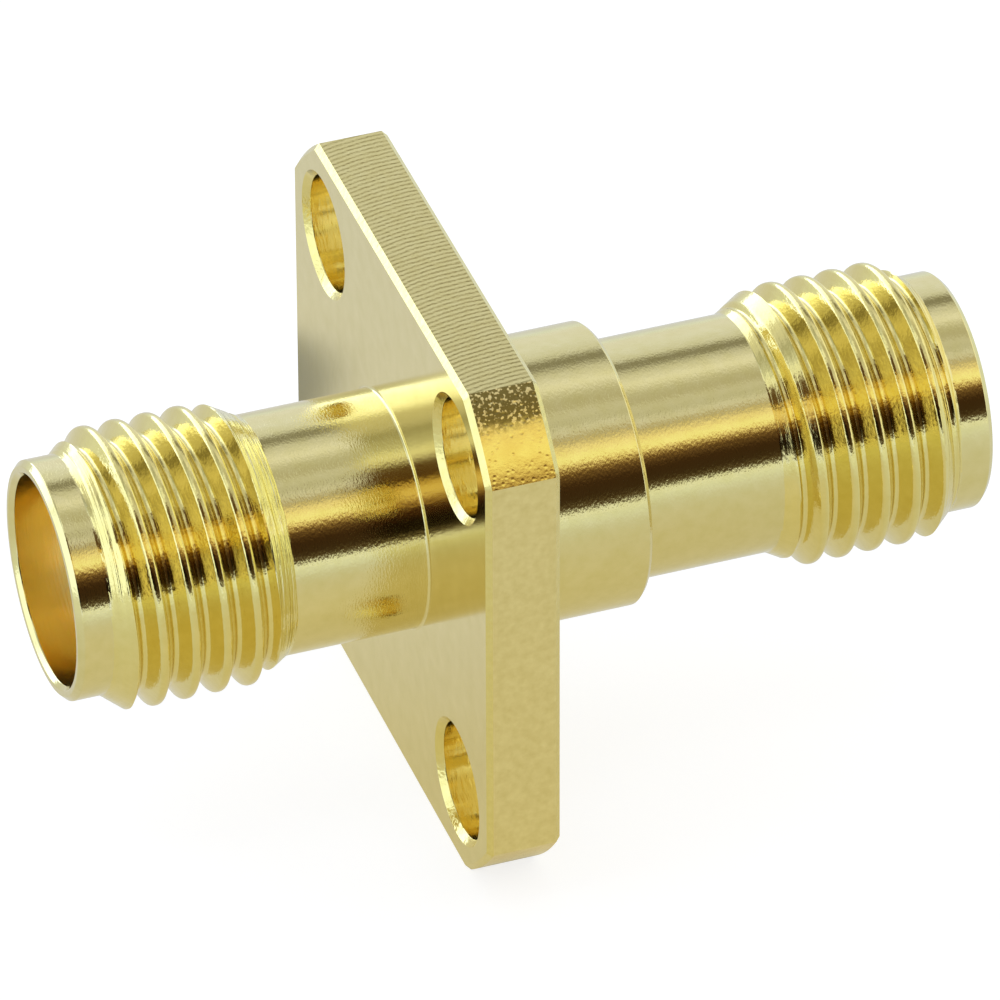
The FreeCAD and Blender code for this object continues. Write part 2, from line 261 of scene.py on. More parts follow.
def makePlate():
    # The rim of the square plate, cut from a disc as the real one is milled from round bar.
    bpy.ops.object.select_all(action="DESELECT")
    bpy.ops.mesh.primitive_circle_add(vertices=flange["barSteps"], radius=flange["barRadius"],
                                      fill_type="NGON", rotation=(0, math.pi / 2, 0))
    plate = bpy.context.object
    bpy.ops.object.transform_apply(rotation=True)
    bpy.ops.object.mode_set(mode="EDIT")
    halfSide = bodyHigh.y
    for across, up in ((1, 0), (-1, 0), (0, 1), (0, -1)):
        bpy.ops.mesh.select_all(action="SELECT")
        bpy.ops.mesh.bisect(plane_co=(0, across * halfSide, up * halfSide),
                            plane_no=(0, across, up), clear_outer=True,
                            threshold=weldDistance)
    bpy.ops.mesh.select_all(action="SELECT")
    bpy.ops.mesh.extrude_region_move(
        TRANSFORM_OT_translate={"value": (flange["thickness"], 0, 0)})
    bpy.ops.mesh.select_all(action="SELECT")
    bpy.ops.mesh.normals_make_consistent(inside=False)
    bpy.ops.mesh.select_mode(type="EDGE")
    bpy.ops.mesh.select_all(action="DESELECT")
    bpy.ops.object.mode_set(mode="OBJECT")
    points = plate.data.vertices
    for edge in plate.data.edges:
        first, second = (points[index].co.x for index in edge.vertices)
        edge.select = abs(first - second) < weldDistance
    bpy.ops.object.mode_set(mode="EDIT")
    bpy.ops.mesh.bevel(offset=flange["edge"], segments=1)
    bpy.ops.mesh.select_all(action="DESELECT")
    bpy.ops.mesh.select_mode(type="FACE")
    bpy.ops.object.mode_set(mode="OBJECT")
    for face in plate.data.polygons:
        face.select = abs(face.normal.x) > flatFacing
    bpy.ops.object.mode_set(mode="EDIT")
    bpy.ops.mesh.delete(type="ONLY_FACE")
    bpy.ops.object.mode_set(mode="OBJECT")
    return plate


def makeHole(across, up):
    # One mounting hole with its chamfers, turned round its own axis.
    radius, edge, depth = flange["holeRadius"], flange["holeEdge"], flange["thickness"]
    hole = drawLine("hole", softenCorners([(0, radius + edge), (edge, radius), (depth - edge, radius),
                                           (depth, radius + edge)], flange["holeSoftening"]))
    bpy.ops.mesh.select_all(action="SELECT")
    bpy.ops.transform.translate(value=(0, across, up))
    spinLine(flange["holeSteps"], (0, across, up))
    return hole


def fillPlane(piece, x):
    # Closes the flat face at x between every open ring that lies in it.
    selectOnly(piece)
    bpy.ops.object.mode_set(mode="EDIT")
    bpy.ops.mesh.select_mode(type="EDGE")
    bpy.ops.mesh.select_all(action="DESELECT")
    bpy.ops.mesh.select_non_manifold()
    bpy.ops.object.mode_set(mode="OBJECT")
    points = piece.data.vertices
    for edge in piece.data.edges:
        if edge.select:
            edge.select = all(abs(points[index].co.x - x) < weldDistance for index in edge.vertices)
    for point in points:
        point.select = False
    for face in piece.data.polygons:
        face.select = False
    for edge in piece.data.edges:
        if edge.select:
            for index in edge.vertices:
                points[index].select = True
    bpy.ops.object.mode_set(mode="EDIT")
    bpy.ops.mesh.fill(use_beauty=True)
    bpy.ops.object.mode_set(mode="OBJECT")


# The fillet, the boss and the joint between body and rear jack, in mm.
core = {
    "barrelFillet": 0.06,
    "filletSteps": 6,
    "bossRadius": 3.15,
    "bossEdge": 0.1,
    "spigotBore": 2.5,
    "spigotLength": 1.72,
    "spigotLead": 0.15,
    "collarLength": 0.65,
}


def makeFlangedBody():
    threadFoot = bodyLow.x + jack["pilotLength"]
    wound = windThread("frontThread", threadFoot, thread["frontLead"], -1)

    fillet = core["barrelFillet"]
    barrelLine = [(threadFoot + thread["length"] + thread["endMargin"], jack["barrelRadius"])]
    for step in range(core["filletSteps"] + 1):
        angle = math.pi / 2 * step / core["filletSteps"]
        barrelLine.append((-fillet + fillet * math.sin(angle),
                           jack["barrelRadius"] + fillet * (1 - math.cos(angle))))
    barrel = turnOnLathe("barrel", barrelLine)

    bossEnd = bodyHigh.x
    shoulder = bossEnd - core["spigotLength"] - 2 * core["collarLength"]
    corners = [
        (threadFoot - thread["endMargin"], jack["pilotRadius"]),
        *mouthCorners(bodyLow.x, 1),
        (shoulder, jack["lineRadius"]),
        (shoulder, core["spigotBore"]),
        (bossEnd, core["spigotBore"]),
        (bossEnd, core["bossRadius"] - core["bossEdge"]),
        (bossEnd - core["bossEdge"], core["bossRadius"]),
        (flange["thickness"], core["bossRadius"]),
    ]
    turned = turnOnLathe("turned", softenCorners(corners, jack["edgeSoftening"]))

    place = flange["holePlace"]
    holes = [makeHole(across * place, up * place) for across in (-1, 1) for up in (-1, 1)]
    piece = joinPieces("flangedBody", makePlate(), wound, barrel, turned, *holes)
    bpy.ops.object.mode_set(mode="EDIT")
    bpy.ops.mesh.select_mode(type="VERT")
    bpy.ops.mesh.select_all(action="SELECT")
    bpy.ops.mesh.remove_doubles(threshold=weldDistance)
    bpy.ops.object.mode_set(mode="OBJECT")
    fillPlane(piece, 0)
    fillPlane(piece, flange["thickness"])
    return piece


def makePressedJack():
    threadFoot = jackHigh.x - jack["pilotLength"] - thread["length"]
    wound = windThread("rearThread", threadFoot, thread["rearLead"], 1)
    corners = [
        (threadFoot + thread["length"] + thread["endMargin"], jack["pilotRadius"]),
        *mouthCorners(jackHigh.x, -1),
        (jackLow.x, jack["lineRadius"]),
        (jackLow.x, core["spigotBore"] - core["spigotLead"]),
        (jackLow.x + core["spigotLead"], core["spigotBore"]),
        (bodyHigh.x, core["spigotBore"]),
        (bodyHigh.x, jack["barrelRadius"]),
        (threadFoot - thread["endMargin"], jack["barrelRadius"]),
    ]
    turned = turnOnLathe("turned", softenCorners(corners, jack["edgeSoftening"]))
    return joinPieces("pressedJack", wound, turned)


# Either insulator, in mm.
insulator = {
    "boreRadius": 0.645,
    "sleeveRadius": 2.05,
    "sleeveEdge": 0.08,
    "collarRadius": 2.485,
    "recessRadius": 1.01,
    "recessDepth": 0.25,
    "edgeSoftening": 0.03,
}


def makeInsulator(name, outwards):
    # A sleeve with a collar at its inner end; outwards is -1 for the front one and 1 for the rear one.
    middle = sleeveHigh.x
    length = sleeveHigh.x - sleeveLow.x
    corners = [
        (length, insulator["boreRadius"]),
        (length, insulator["sleeveRadius"] - insulator["sleeveEdge"]),
        (length - insulator["sleeveEdge"], insulator["sleeveRadius"]),
        (core["collarLength"], insulator["sleeveRadius"]),
        (core["collarLength"], insulator["collarRadius"]),
        (0, insulator["collarRadius"]),
        (0, insulator["recessRadius"]),
        (insulator["recessDepth"], insulator["recessRadius"]),
        (insulator["recessDepth"], insulator["boreRadius"]),
    ]
    softened = softenCorners(corners, insulator["edgeSoftening"], closed=True)
    return turnOnLathe(name, [(middle + outwards * x, r) for x, r in softened + softened[:1]])


# The contact, in mm and degrees.
contact = {
    "radius": 0.635,
    "recess": 0.05,    # its ends stand this far behind the reference planes
    "edge": 0.08,
    "collarRadius": 1.0,
    "collarLength": 0.5,
    "socketRadius": 0.465,
    "socketDepth": 2.8,
    "socketLead": 0.07,
    "drillPoint": 59.0,
    "slotWidth": 0.13,
    "slotLength": 2.3,
    "sawHeight": 2.54,    # more than the rod is thick
    "edgeSoftening": 0.012,
    "steps": 128,
}


def makeContact():
    # A rod with a pin socket at each end, each sawn into four tines.
    middle = sleeveHigh.x
    halfLength = middle - sleeveLow.x - contact["recess"]
    tip = contact["socketRadius"] / math.tan(math.radians(contact["drillPoint"]))
    half = [
        (halfLength - contact["socketDepth"] - tip, 0),
        (halfLength - contact["socketDepth"], contact["socketRadius"]),
        (halfLength - contact["socketLead"], contact["socketRadius"]),
        (halfLength, contact["socketRadius"] + contact["socketLead"]),
        (halfLength, contact["radius"] - contact["edge"]),
        (halfLength - contact["edge"], contact["radius"]),
        (contact["collarLength"] / 2, contact["radius"]),
        (contact["collarLength"] / 2, contact["collarRadius"]),
    ]
    corners = [(middle - x, r) for x, r in half] + [(middle + x, r) for x, r in reversed(half)]
    line = softenCorners(corners, contact["edgeSoftening"])
    rod = turnOnLathe("centreContact", line, contact["steps"])
    selectOnly(rod)
    bpy.ops.object.mode_set(mode="EDIT")
    bpy.ops.mesh.select_all(action="SELECT")
    bpy.ops.mesh.normals_make_consistent(inside=False)
    bpy.ops.object.mode_set(mode="OBJECT")
    for outwards in (-1, 1):
        for turn in (0, math.pi / 2):
            bpy.ops.mesh.primitive_cube_add(
                size=1, location=(middle + outwards * halfLength, 0, 0), rotation=(turn, 0, 0),
                scale=(2 * contact["slotLength"], contact["slotWidth"], contact["sawHeight"]))
            saw = bpy.context.object
            selectOnly(rod)
            cut = rod.modifiers.new("sawCut", "BOOLEAN")
            cut.operation = "DIFFERENCE"
            cut.object = saw
            bpy.ops.object.modifier_apply(modifier=cut.name)
            bpy.data.objects.remove(saw)
    return rod


def finishPiece(piece, slot, *nodes):
    # Welded, faces outwards, smooth, in metres, and set on the body in place of its nodes.
    selectOnly(piece)
    bpy.ops.object.mode_set(mode="EDIT")
    bpy.ops.mesh.select_mode(type="VERT")
    bpy.ops.mesh.select_all(action="SELECT")
    bpy.ops.mesh.remove_doubles(threshold=fineWeld)
    bpy.ops.mesh.select_all(action="SELECT")
    bpy.ops.mesh.normals_make_consistent(inside=False)
    bpy.ops.mesh.select_all(action="DESELECT")
    bpy.ops.mesh.select_non_manifold()
    bpy.ops.object.mode_set(mode="OBJECT")
    openPoints = sum(point.select for point in piece.data.vertices)
    bpy.ops.object.shade_smooth_by_angle(angle=math.radians(sharpFrom))
    evening = piece.modifiers.new("evening", "WEIGHTED_NORMAL")
    evening.keep_sharp = True
    bpy.ops.object.modifier_apply(modifier=evening.name)
    piece.scale = (millimetre,) * 3
    bpy.ops.object.transform_apply(scale=True)
    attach(piece, "root")
    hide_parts(*nodes)
    print(piece.name, "faces", len(piece.data.polygons), "open points", openPoints)


# Materials. Each is gold plate or PTFE with the marks of how its surface was made.

colourA, colourB, mixedColour = 6, 7, 2    # the two colour inputs of a Mix node and its colour output
white = "FFFFFF"


def toLinear(colour):
    channels = [int(colour[index:index + 2], 16) / 255 for index in (0, 2, 4)]
    linear = [channel / 12.92 if channel <= 0.04045 else ((channel + 0.055) / 1.055) ** 2.4
              for channel in channels]
    return (*linear, 1.0)


def addNode(tree, kind, settings=None, links=None):
    node = tree.nodes.new(kind)
    for name, value in (settings or {}).items():
        if isinstance(name, int) or name in node.inputs:
            node.inputs[name].default_value = value
        else:
            setattr(node, name, value)
    for name, socket in (links or {}).items():
        tree.links.new(socket, node.inputs[name])
    return node


def setStops(ramp, colours):
    # Gives a colour ramp its colours, each at its place between 0 and 1.
    stops = ramp.color_ramp.elements
    for index, (position, colour) in enumerate(colours):
        if index < len(stops):
            stops[index].position = position
        else:
            stops.new(position)
        stops[index].color = toLinear(colour)
    return ramp.outputs[0]


def startMaterial(name):
    material = bpy.data.materials.new(name)
    material.use_nodes = True
    tree = material.node_tree
    tree.nodes.clear()
    shader = addNode(tree, "ShaderNodeBsdfPrincipled")
    addNode(tree, "ShaderNodeOutputMaterial", links={"Surface": shader.outputs[0]})
    place = addNode(tree, "ShaderNodeTexCoord").outputs["Object"]
    return material, tree, shader, place


def perMillimetre(spacing):
    # How many repeats of a pattern with this spacing, in mm, fit in a metre.
    return 1 / (spacing * millimetre)


def streakHeight(tree, place, size):
    # Noise stretched to the given size along X, Y and Z, in mm.
    stretched = addNode(tree, "ShaderNodeMapping", {"Scale": [perMillimetre(length) for length in size]},
                        {"Vector": place})
    streaks = addNode(tree, "ShaderNodeTexNoise", {"Scale": 1.0, "Detail": 3.0},
                      {"Vector": stretched.outputs[0]})
    return streaks.outputs["Fac"]


def ringHeight(tree, place, spacing, detail=3.0):
    # Fine rings round the X axis, uneven as a lathe tool leaves them.
    flat = addNode(tree, "ShaderNodeVectorMath", {"operation": "MULTIPLY", 1: (0, 1, 1)}, {0: place})
    radius = addNode(tree, "ShaderNodeVectorMath", {"operation": "LENGTH"}, {0: flat.outputs[0]})
    turns = addNode(tree, "ShaderNodeMath", {"operation": "MULTIPLY", 1: perMillimetre(spacing)},
                    {0: radius.outputs["Value"]})
    rings = addNode(tree, "ShaderNodeTexNoise", {"noise_dimensions": "1D", "Scale": 1.0, "Detail": detail},
                    {"W": turns.outputs[0]})
    return rings.outputs["Fac"]


def ribHeight(tree, place, rib):
    # Even ribs across the plate's edge, each an arc of the milling cutter.
    axes = addNode(tree, "ShaderNodeSeparateXYZ", links={0: place})
    along = addNode(tree, "ShaderNodeMath", {"operation": "ADD"},
                    {0: axes.outputs["Y"], 1: axes.outputs["Z"]})
    aside = addNode(tree, "ShaderNodeMath", {"operation": "SUBTRACT", 1: rib["centre"] * millimetre},
                    {0: axes.outputs["X"]})
    square = addNode(tree, "ShaderNodeMath", {"operation": "MULTIPLY"},
                     {0: aside.outputs[0], 1: aside.outputs[0]})
    bent = addNode(tree, "ShaderNodeMath",
                   {"operation": "MULTIPLY_ADD", 1: 1 / (2 * rib["cutterRadius"] * millimetre)},
                   {0: square.outputs[0], 2: along.outputs[0]})
    wander = addNode(tree, "ShaderNodeTexNoise", {"Scale": perMillimetre(rib["wanderSize"]), "Detail": 2.0},
                     {"Vector": place})
    shift = addNode(tree, "ShaderNodeMath", {"operation": "MULTIPLY", 1: rib["wander"]},
                    {0: wander.outputs["Fac"]})
    phase = addNode(tree, "ShaderNodeMath",
                    {"operation": "MULTIPLY_ADD", 1: 2 * math.pi * perMillimetre(rib["pitch"])},
                    {0: bent.outputs[0], 2: shift.outputs[0]})
    return addNode(tree, "ShaderNodeMath", {"operation": "SINE"}, {0: phase.outputs[0]}).outputs[0]


pitRim = 0.4    # how far from its middle a pit ends, as a share of the spacing


def pitHeight(tree, place, size):
    # Small pits with bright rims between them, as on the skin of a drawn bar.
    cells = addNode(tree, "ShaderNodeTexVoronoi", {"Scale": perMillimetre(size)}, {"Vector": place})
    pits = addNode(tree, "ShaderNodeMapRange", {"interpolation_type": "SMOOTHSTEP", "From Max": pitRim},
                   {"Value": cells.outputs["Distance"]})
    return pits.outputs[0]


markKinds = {"streaks": streakHeight, "rings": ringHeight, "ribs": ribHeight, "pits": pitHeight}

# Ribs that the milling cutter left across the flange's edges, in mm; wander is in radians.
ribs = {"pitch": 0.141, "centre": 1.5, "cutterRadius": 5.0, "wander": 3.5, "wanderSize": 0.5}
faintRibs = dict(ribs, wander=9.0)

# Bright gold plate over nickel, a little paler and greener than fine gold, by how the brass under it
# was made. Each has a pair of colours and how far apart in mm they drift into each other, the
# roughness and how much it varies, and the tool's marks: a kind, its size and its depth, in mm. Feed
# marks and grain are drawn coarser than the real ones, or they would not show.
goldFinishes = {
    # Turned: nearly a mirror, whose reflections have frayed edges.
    "turned": {
        "colours": ("EDDFA0", "E0D186"), "drift": 0.3, "roughness": 0.065, "spread": 0.02,
        "marks": [("streaks", (0.04, 0.08, 0.08), 0.0036), ("streaks", (0.05, 0.9, 0.9), 0.0007),
                  ("streaks", (0.4, 1.0, 1.0), 0.0006)]},
    # Cut with a threading tool: warmer, and scored along the groove.
    "threadCut": {
        "colours": ("F0E094", "E4D27C"), "drift": 0.3, "roughness": 0.08, "spread": 0.02,
        "marks": [("streaks", (0.05, 0.1, 0.1), 0.005), ("streaks", (0.05, 0.9, 0.9), 0.003)]},
    # The thread's chamfer at the mouth: ring lines where the tool started, bright on one side.
    "threadEnd": {
        "colours": ("F0E094", "E4D27C"), "drift": 0.3, "roughness": 0.1, "spread": 0.02,
        "marks": [("streaks", (0.09, 6.0, 6.0), 0.03), ("streaks", (0.05, 0.12, 0.12), 0.005)]},
    # The rear thread's runout: the same lines, shallower, so that the dark band still shows.
    "threadRunout": {
        "colours": ("F0E094", "E4D27C"), "drift": 0.3, "roughness": 0.1, "spread": 0.02,
        "marks": [("streaks", (0.09, 6.0, 6.0), 0.014), ("streaks", (0.05, 0.12, 0.12), 0.005)]},
    # The front thread's runout: pale, a painted sheen, with deep lines that break off.
    "burnished": {
        "colours": ("F8F0BC", "ECE2A4"), "drift": 0.3, "roughness": 0.1, "spread": 0.02,
        "marks": [("streaks", (0.09, 3.0, 3.0), 0.06), ("streaks", (0.05, 0.12, 0.12), 0.005)]},
    # Bored: a soft, deep gold, because light meets the wall more than once.
    "bored": {
        "colours": ("FFE48F", "FBDD86"), "drift": 0.5, "roughness": 0.16, "spread": 0.03,
        "marks": [("streaks", (0.05, 0.6, 0.6), 0.0012)]},
    # Faced: a soft mirror with faint rings and brush lines.
    "faced": {
        "colours": ("EDDFA0", "E0D186"), "drift": 0.5, "roughness": 0.12, "spread": 0.02,
        "marks": [("rings", 0.15, 0.0004), ("streaks", (1.0, 0.09, 0.6), 0.0003)]},
    # Milled: even ribs that show as thin light and dark lines.
    "milled": {
        "colours": ("E9DA96", "DBC97F"), "drift": 0.3, "roughness": 0.13, "spread": 0.03,
        "marks": [("ribs", ribs, 0.0011), ("streaks", (0.07, 0.07, 0.07), 0.004)]},
    # Milled with a worn cutter: dull and mottled, with faint ribs.
    "milledDull": {
        "colours": ("F8E8A4", "DECB82"), "drift": 0.16, "roughness": 0.3, "spread": 0.05,
        "marks": [("ribs", faintRibs, 0.0005), ("streaks", (0.2, 0.2, 0.2), 0.002),
                  ("streaks", (0.08, 0.08, 0.08), 0.002)]},
    # Chamfered: uneven, so that it glitters along the edge.
    "chamfer": {
        "colours": ("F0E092", "E4D27C"), "drift": 0.15, "roughness": 0.2, "spread": 0.05,
        "marks": [("streaks", (0.12, 0.12, 0.12), 0.014)]},
    # Drawn bar, left as it came: a warm skin full of pits.
    "drawnBar": {
        "colours": ("F4E48E", "E6C66C"), "drift": 0.3, "roughness": 0.14, "spread": 0.04,
        "marks": [("pits", 0.14, 0.0025), ("streaks", (0.08, 0.08, 0.08), 0.0025)]},
    # Drilled: torn rings that break the light into short bright lines.
    "drilled": {
        "colours": ("FCEDA8", "F4E29C"), "drift": 0.3, "roughness": 0.12, "spread": 0.03,
        "marks": [("streaks", (0.08, 0.3, 0.3), 0.004), ("streaks", (0.35, 0.8, 0.8), 0.003)]},
}


def goldSurface(name, finish):
    material, tree, shader, place = startMaterial("goldPlate" + name[0].upper() + name[1:])
    drift = addNode(tree, "ShaderNodeTexNoise", {"Scale": perMillimetre(finish["drift"]), "Detail": 3.0},
                    {"Vector": place})
    rough = addNode(tree, "ShaderNodeMapRange", {"To Min": finish["roughness"] - finish["spread"],
                                                 "To Max": finish["roughness"] + finish["spread"]},
                    {"Value": drift.outputs["Fac"]})
    first, second = (toLinear(colour) for colour in finish["colours"])
    tint = addNode(tree, "ShaderNodeMix", {"data_type": "RGBA", colourA: first, colourB: second},
                   {"Factor": drift.outputs["Fac"]})
    normal = None
    for kind, size, depth in finish["marks"]:
        height = markKinds[kind](tree, place, size)
        layer = addNode(tree, "ShaderNodeBump", {"Strength": 1.0, "Distance": depth * millimetre},
                        {"Height": height})
        if normal:
            tree.links.new(normal, layer.inputs["Normal"])
        normal = layer.outputs[0]
    shader.inputs["Metallic"].default_value = 1.0
    tree.links.new(tint.outputs[mixedColour], shader.inputs["Base Color"])
    tree.links.new(rough.outputs[0], shader.inputs["Roughness"])
    tree.links.new(normal, shader.inputs["Normal"])
    return material


# Painted shade with painted glints on part of the bar's skin, where its rounded corners face the dark part
# of the room, in mm.
skinPaintedLight = {
    "paintedShade": "87773F",
    "paintedGlint": "F6E29C",
    "paintedShadeFrom": 0.4,    # how much longer Z is than Y where it begins
    "paintedShadeFull": 0.85,
    "ragged": 0.6,    # how far its edge wanders
    "shadeEdgeSize": 0.15,
    "paintedGlintSize": 0.08,
    "paintedGlintFrom": 0.53,    # of the glint noise's height
    "paintedGlintFull": 0.62,
}


def paintShadeAndGlintsOnSkin(material):
    # Painted shade on the half of each rounded corner next to the top or bottom edge, with painted glints
    # in it, for the dark part of the room that the corner reflects.
    tree = material.node_tree
    shader = next(node for node in tree.nodes if node.type == "BSDF_PRINCIPLED")
    plain = shader.inputs["Base Color"].links[0].from_socket
    place = addNode(tree, "ShaderNodeTexCoord").outputs["Object"]
    axes = addNode(tree, "ShaderNodeSeparateXYZ", links={0: place})
    across = addNode(tree, "ShaderNodeMath", {"operation": "ABSOLUTE"}, {0: axes.outputs["Y"]})
    up = addNode(tree, "ShaderNodeMath", {"operation": "ABSOLUTE"}, {0: axes.outputs["Z"]})
    lead = addNode(tree, "ShaderNodeMath", {"operation": "SUBTRACT"},
                   {0: up.outputs[0], 1: across.outputs[0]})
    shadeEdgeNoise = addNode(tree, "ShaderNodeTexNoise",
                       {"Scale": perMillimetre(skinPaintedLight["shadeEdgeSize"]), "Detail": 4.0}, {"Vector": place})
    ragged = addNode(tree, "ShaderNodeMath",
                     {"operation": "MULTIPLY_ADD", 1: skinPaintedLight["ragged"] * millimetre},
                     {0: shadeEdgeNoise.outputs["Fac"], 2: lead.outputs[0]})
    paintedShadeZone = addNode(tree, "ShaderNodeMapRange", {
        "interpolation_type": "SMOOTHSTEP", "From Min": skinPaintedLight["paintedShadeFrom"] * millimetre,
        "From Max": skinPaintedLight["paintedShadeFull"] * millimetre}, {"Value": ragged.outputs[0]})
    glintNoise = addNode(tree, "ShaderNodeTexNoise", {"Scale": perMillimetre(skinPaintedLight["paintedGlintSize"]), "Detail": 1.0},
                    {"Vector": place})
    paintedGlints = addNode(tree, "ShaderNodeMapRange",
                     {"From Min": skinPaintedLight["paintedGlintFrom"], "From Max": skinPaintedLight["paintedGlintFull"]},
                     {"Value": glintNoise.outputs["Fac"]})
    paintedShadeColour = addNode(tree, "ShaderNodeMix", {"data_type": "RGBA", colourA: toLinear(skinPaintedLight["paintedShade"]),
                                             colourB: toLinear(skinPaintedLight["paintedGlint"])},
                     {"Factor": paintedGlints.outputs[0]})
    mixed = addNode(tree, "ShaderNodeMix", {"data_type": "RGBA"},
                    {"Factor": paintedShadeZone.outputs[0], colourA: plain, colourB: paintedShadeColour.outputs[mixedColour]})
    tree.links.new(mixed.outputs[mixedColour], shader.inputs["Base Color"])


# PTFE, turned: white and waxy, because light goes in a little, with fine rings on its end. In mm.
ptfeFinish = {
    "colours": ("FAF9F3", "EFEDE4"),
    "drift": 0.9,
    "ringSpacing": 0.07,
    "ringDepth": 0.003,
    "roughness": 0.42,
    "index": 1.35,    # of refraction
    "lightInside": 0.25,    # the share of the light that goes in
    "lightDepth": 0.4,
}


def ptfeSurface(name):
    material, tree, shader, place = startMaterial(name)
    clouds = addNode(tree, "ShaderNodeTexNoise",
                     {"Scale": perMillimetre(ptfeFinish["drift"]), "Detail": 3.0}, {"Vector": place})
    first, second = (toLinear(colour) for colour in ptfeFinish["colours"])
    tint = addNode(tree, "ShaderNodeMix", {"data_type": "RGBA", colourA: first, colourB: second},
                   {"Factor": clouds.outputs["Fac"]})
    bump = addNode(tree, "ShaderNodeBump",
                   {"Strength": 1.0, "Distance": ptfeFinish["ringDepth"] * millimetre},
                   {"Height": ringHeight(tree, place, ptfeFinish["ringSpacing"], 2.0)})
    shader.inputs["Roughness"].default_value = ptfeFinish["roughness"]
    shader.inputs["IOR"].default_value = ptfeFinish["index"]
    shader.inputs["Subsurface Weight"].default_value = ptfeFinish["lightInside"]
    shader.inputs["Subsurface Scale"].default_value = ptfeFinish["lightDepth"] * millimetre
    tree.links.new(tint.outputs[mixedColour], shader.inputs["Base Color"])
    tree.links.new(bump.outputs[0], shader.inputs["Normal"])
    return material


gold = {name: goldSurface(name, finish) for name, finish in goldFinishes.items()}
# The drawn bar's material gets painted shade and painted glints on its corners.
paintShadeAndGlintsOnSkin(gold["drawnBar"])
ptfe = ptfeSurface("ptfeTurned")
print("materials ready:", len(gold) + 1)

# How a face is told from its neighbours: the share of an axis that its normal has.
facedFacing = 0.95
chamferFacing = 0.3
sideFacing = 0.9
coneMargin = 0.012    # mm, how near a face's middle is to a cone that it lies in


def chooseThreadFinish(fromAxis, fromEntry, fromExit, runout):
    # Cut, or on one of the two cones that a thread ends in.
    entryCone = jack["pilotRadius"] + fromEntry * math.tan(math.radians(thread["entryAngle"]))
    exitCone = jack["barrelRadius"] + fromExit * math.tan(math.radians(thread["exitAngle"]))
    if fromAxis <= min(entryCone, exitCone) - coneMargin:
        return gold["threadCut"]
    return gold["threadEnd"] if fromEntry < fromExit else runout


def chooseBodyFinish(centre, normal):
    # By where the middle of a face lies, in mm, and on the plate also by how it is turned.
    holePlace = flange["holePlace"]
    fromAxis = math.hypot(centre.y, centre.z)
    fromHole = math.hypot(abs(centre.y) - holePlace, abs(centre.z) - holePlace)
    onPlate = -weldDistance < centre.x < flange["thickness"] + weldDistance
    threadFoot = bodyLow.x + jack["pilotLength"]
    if onPlate and fromHole < flange["holeRadius"] + weldDistance:
        return gold["drilled"]
    if onPlate and fromAxis > core["bossRadius"]:
        if abs(normal.x) > facedFacing:
            return gold["faced"]
        if abs(normal.x) > chamferFacing:
            return gold["chamfer"]
        if abs(normal.z) > sideFacing:
            return gold["milled"]
        return gold["milledDull"] if abs(normal.y) > sideFacing else gold["drawnBar"]
    if fromAxis < jack["mouthRadius"] + weldDistance:
        return gold["bored"]
    if threadFoot < centre.x < threadFoot + thread["length"]:
        return chooseThreadFinish(fromAxis, centre.x - threadFoot,
                                  threadFoot + thread["length"] - centre.x, gold["burnished"])
    return gold["turned"]


def chooseJackFinish(centre, normal):
    threadEnd = jackHigh.x - jack["pilotLength"]
    fromAxis = math.hypot(centre.y, centre.z)
    if fromAxis < jack["mouthRadius"] + weldDistance:
        return gold["bored"]
    if threadEnd - thread["length"] < centre.x < threadEnd:
        return chooseThreadFinish(fromAxis, threadEnd - centre.x,
                                  centre.x - threadEnd + thread["length"], gold["threadRunout"])
    return gold["turned"]


def paint(piece, choose):
    # Every face gets the material that choose names from its middle and its normal.
    finishes = []
    for face in piece.data.polygons:
        finish = choose(face.center, face.normal)
        if finish not in finishes:
            finishes.append(finish)
            piece.data.materials.append(finish)
        face.material_index = finishes.index(finish)


flangedBody = makeFlangedBody()
paint(flangedBody, chooseBodyFinish)
finishPiece(flangedBody, "gold_plated_body", "flanged_body")
pressedJack = makePressedJack()
paint(pressedJack, chooseJackFinish)
finishPiece(pressedJack, "gold_plated_jack", "pressed_jack")
for name, node, outwards in (("frontInsulator", "front_insulator", -1),
                             ("rearInsulator", "rear_insulator", 1)):
    sleeve = makeInsulator(name, outwards)
    paint(sleeve, lambda centre, normal: ptfe)
    finishPiece(sleeve, "white_dielectric", node)
centreContact = makeContact()
paint(centreContact, lambda centre, normal: gold["turned"])
finishPiece(centreContact, "gold_plated_contact", "centre_contact")
print("pieces made")


# The camera, at the photograph's angle, in mm and degrees.
view = {
    "azimuth": -19.3274,
    "elevation": 36.7254,
    "roll": -0.1917,
    "distance": 248.003,
    "target": (2.5157, 0.0, -0.4239),
    "lens": 412.48,
    "sensor": 36.0,
    "clipStart": 10.0,
    "clipEnd": 10000.0,
}


def addCamera():
    azimuth, elevation, roll = (math.radians(view[name]) for name in ("azimuth", "elevation", "roll"))
    back = Vector((math.sin(azimuth) * math.cos(elevation), -math.cos(azimuth) * math.cos(elevation),
                   math.sin(elevation)))
    level = Vector((math.cos(azimuth), math.sin(azimuth), 0))
    upright = back.cross(level)
    right = math.cos(roll) * level + math.sin(roll) * upright
    up = -math.sin(roll) * level + math.cos(roll) * upright
    camera = bpy.data.objects.new("camera", bpy.data.cameras.new("camera"))
    bpy.context.scene.collection.objects.link(camera)
    turn = Matrix((right, up, back)).transposed().to_4x4()
    place = (Vector(view["target"]) + view["distance"] * back) * millimetre
    camera.matrix_world = Matrix.Translation(place) @ turn
    camera.data.lens = view["lens"]
    camera.data.sensor_width = view["sensor"]
    camera.data.clip_start = view["clipStart"] * millimetre
    camera.data.clip_end = view["clipEnd"] * millimetre
    bpy.context.scene.camera = camera


